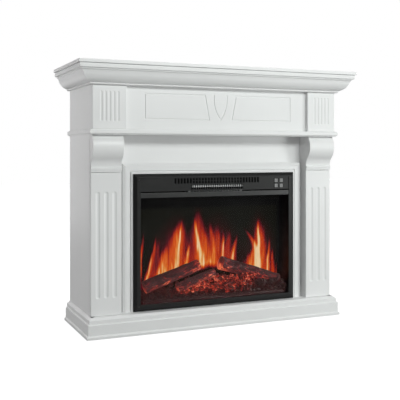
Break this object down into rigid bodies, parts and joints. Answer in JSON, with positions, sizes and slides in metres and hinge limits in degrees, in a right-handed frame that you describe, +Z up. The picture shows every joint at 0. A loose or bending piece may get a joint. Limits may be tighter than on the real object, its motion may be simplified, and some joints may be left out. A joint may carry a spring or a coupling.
{
  "type": "electric fireplace with mantel",
  "caption": "White painted mantel with crown, fluted columns and plinth, holding a black electric fire insert with a glass window, log flame effect, fan heater and push buttons.",
  "frame": {"origin": "on the floor, at the middle of the width and of the depth", "axes": "+X to the viewer's right, +Y from the front to the back, +Z up"},
  "size_m": [1.094, 0.392, 0.95],
  "materials": {
    "white_mdf": "satin white painted MDF",
    "black_bezel": "satin black powder coat",
    "silver_grille": "satin",
    "grey_button": "matte grey",
    "clear_glass": "clear",
    "flame_screen": "dark translucent acrylic",
    "log_bark": "moulded bark, glowing from inside",
    "ember_bed": "moulded coals, glowing from inside",
    "black_sheet": "matte black coated sheet",
    "bright_strip": "bright reflector foil",
    "motor_can": "zinc-plated",
    "fan_metal": "plain",
    "heater_metal": "plain",
    "circuit_board": "green laminate",
    "zinc_steel": "zinc-plated",
    "black_plastic": "matte"
  },
  "bodies": {
    "mantel": {"back_rail_top": "white_mdf", "bezel_bottom": "black_bezel", "bezel_left": "black_bezel", "bezel_right": "black_bezel", "bezel_top": "black_bezel", "blower_motor": "motor_can", "cable_gland": "black_plastic", "control_board": "circuit_board", "control_fascia": "black_bezel", "corbel_left": "white_mdf", "corbel_right": "white_mdf", "corner_brackets": "zinc_steel", "crown_front": "white_mdf", "crown_left": "white_mdf", "crown_right": "white_mdf", "ember_bed": "ember_bed", "firebox_back": "black_sheet", "firebox_floor": "black_sheet", "firebox_side_left": "black_sheet", "firebox_side_right": "black_sheet", "firebox_top": "black_sheet", "flame_screen": "flame_screen", "frieze_block_left": "white_mdf", "frieze_block_right": "white_mdf", "frieze_panel": "white_mdf", "front_glass": "clear_glass", "front_stile_left": "white_mdf", "front_stile_right": "white_mdf", "glide_feet": "black_plastic", "header_panel": "white_mdf", "hearth_board": "white_mdf", "heater_unit": "heater_metal", "led_board": "circuit_board", "ledge_front": "white_mdf", "ledge_left": "white_mdf", "ledge_right": "white_mdf", "log_front": "log_bark", "log_left": "log_bark", "log_middle": "log_bark", "log_right": "log_bark", "mantel_top_shelf": "white_mdf", "opening_trim_left": "white_mdf", "opening_trim_right": "white_mdf", "opening_trim_top": "white_mdf", "outlet_grille": "silver_grille", "pilaster_left": "white_mdf", "pilaster_right": "white_mdf", "plinth_front": "white_mdf", "plinth_left": "white_mdf", "plinth_right": "white_mdf", "rotor_motor": "motor_can", "side_panel_left": "white_mdf", "side_panel_right": "white_mdf", "window_strip": "black_bezel"},
    "flame_rotor": {"flame_rotor": "bright_strip"},
    "blower_wheel": {"blower_wheel": "fan_metal"},
    "button_power": {"button_power": "grey_button"},
    "button_flame": {"button_flame": "grey_button"},
    "button_heat_low": {"button_heat_low": "grey_button"},
    "button_heat_high": {"button_heat_high": "grey_button"}
  },
  "joints": [
    {"name": "flame_rotor_spin", "type": "hinge", "parent": "mantel", "child": "flame_rotor", "pos_m": [0, 0.02, 0.15], "axis": [1, 0, 0], "continuous": true},
    {"name": "blower_spin", "type": "hinge", "parent": "mantel", "child": "blower_wheel", "pos_m": [0, 0.015, 0.515], "axis": [1, 0, 0], "continuous": true},
    {"name": "power_press", "type": "slide", "parent": "mantel", "child": "button_power", "axis": [0, 1, 0], "range_m": [0, 0.0015], "stiffness_N_per_m": 600},
    {"name": "flame_press", "type": "slide", "parent": "mantel", "child": "button_flame", "axis": [0, 1, 0], "range_m": [0, 0.0015], "stiffness_N_per_m": 600},
    {"name": "heat_low_press", "type": "slide", "parent": "mantel", "child": "button_heat_low", "axis": [0, 1, 0], "range_m": [0, 0.0015], "stiffness_N_per_m": 600},
    {"name": "heat_high_press", "type": "slide", "parent": "mantel", "child": "button_heat_high", "axis": [0, 1, 0], "range_m": [0, 0.0015], "stiffness_N_per_m": 600}
  ]
}
